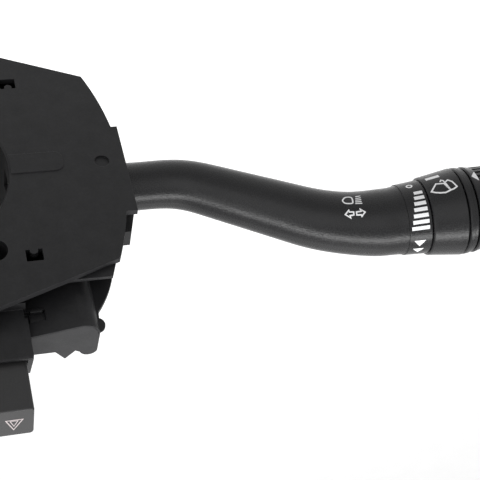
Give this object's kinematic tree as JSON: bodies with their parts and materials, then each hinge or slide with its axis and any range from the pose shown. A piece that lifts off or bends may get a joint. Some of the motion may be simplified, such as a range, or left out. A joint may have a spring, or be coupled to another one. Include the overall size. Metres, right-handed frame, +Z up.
{
  "type": "combination stalk switch",
  "caption": "Steering column stalk switch: a bored housing with a bent lever for turn signals, beam, wiper and washer, and a push button for the hazard lights.",
  "frame": {"origin": "on the axis of the column bore, in the rear face that meets the steering column bracket", "axes": "+Z up as fitted in the vehicle, -Y towards the driver, +Y along the column bore, lever towards -X"},
  "size_m": [0.2428, 0.0513, 0.1379],
  "materials": {
    "casing_plastic": "fine moulded grain",
    "lever_plastic": "satin",
    "button_plastic": "satin",
    "grey_plastic": "satin",
    "nylon": "satin",
    "contact_brass": "drawn",
    "pin_steel": "ground",
    "board": "laminate",
    "wire_jacket": "smooth"
  },
  "bodies": {
    "housing": {"front_cover": "casing_plastic", "rear_housing": "casing_plastic", "hazard_contact_carrier": "grey_plastic", "hazard_fixed_contacts": "contact_brass", "pivot_pin": "pin_steel", "detent_track": "nylon", "turn_fixed_contacts": "contact_brass", "terminal_carrier": "grey_plastic", "blade_terminals_a": "contact_brass", "blade_terminals_b": "contact_brass", "pawl_pin": "pin_steel", "pawl_spring": "pin_steel"},
    "yoke": {"turn_yoke": "nylon", "cross_pin": "pin_steel", "detent_spring": "pin_steel"},
    "lever": {"lever_root": "nylon", "lever_tube": "lever_plastic", "lever_loom": "wire_jacket", "knob_spindle": "nylon", "wiper_contact_board": "board", "scale_collar": "lever_plastic", "spacer_band": "lever_plastic", "ring_detent_ball": "pin_steel", "ring_detent_spring": "pin_steel"},
    "dimmer": {"dimmer_slider": "nylon", "dimmer_contact": "contact_brass"},
    "plunger": {"detent_plunger": "nylon"},
    "slider": {"turn_slider": "nylon", "turn_slider_contact": "contact_brass"},
    "pawl": {"cancel_pawl": "nylon"},
    "ring": {"wiper_ring": "lever_plastic", "ring_rotor": "nylon"},
    "knob": {"end_knob": "lever_plastic"},
    "washer": {"washer_button": "lever_plastic", "washer_spring": "pin_steel"},
    "hazard": {"hazard_button": "button_plastic", "hazard_stem": "nylon", "hazard_bridge_contact": "contact_brass", "hazard_spring": "pin_steel"}
  },
  "joints": [
    {"name": "lever_turn", "type": "hinge", "parent": "housing", "child": "yoke", "pos_m": [-0.0425, -0.021, 0.0019], "axis": [0, 1, 0], "range_deg": [-7.5, 7.5]},
    {"name": "lever_pull", "type": "hinge", "parent": "yoke", "child": "lever", "pos_m": [-0.0515, -0.021, 0.0019], "axis": [0, 0, 1], "range_deg": [0, 6.5], "stiffness_Nm_per_rad": 1.5},
    {"name": "dimmer_slide", "type": "slide", "parent": "yoke", "child": "dimmer", "axis": [-1, 0, 0], "range_m": [0, 0.001]},
    {"name": "plunger_slide", "type": "slide", "parent": "yoke", "child": "plunger", "axis": [0, 0, 1], "range_m": [0, 0.0012], "stiffness_N_per_m": 1500, "deforming": ["detent_spring"]},
    {"name": "slider_travel", "type": "slide", "parent": "housing", "child": "slider", "axis": [-1, 0, 0], "range_m": [-0.002, 0.002]},
    {"name": "pawl_swing", "type": "hinge", "parent": "housing", "child": "pawl", "pos_m": [-0.0366, -0.023, 0.0116], "axis": [0, 1, 0], "range_deg": [-12, 0], "stiffness_Nm_per_rad": 0.02},
    {"name": "ring_turn", "type": "hinge", "parent": "lever", "child": "ring", "pos_m": [-0.15572, -0.02303, 0.02829], "axis": [-0.9934, -0.1132, 0.0208], "range_deg": [0, 134]},
    {"name": "knob_turn", "type": "hinge", "parent": "lever", "child": "knob", "pos_m": [-0.15572, -0.02303, 0.02829], "axis": [-0.9934, -0.1132, 0.0208], "range_deg": [0, 60]},
    {"name": "washer_push", "type": "slide", "parent": "lever", "child": "washer", "axis": [0.9934, 0.1132, -0.0208], "range_m": [0, 0.0022], "stiffness_N_per_m": 1200},
    {"name": "hazard_push", "type": "slide", "parent": "housing", "child": "hazard", "axis": [0, 0, -1], "range_m": [0, 0.004], "stiffness_N_per_m": 1200, "deforming": ["hazard_spring"]}
  ],
  "couplings": [
    {"joint": "dimmer_slide", "follows": "lever_pull", "m_per_rad": 0.0084},
    {"joint": "slider_travel", "follows": "lever_turn", "m_per_rad": 0.015}
  ]
}
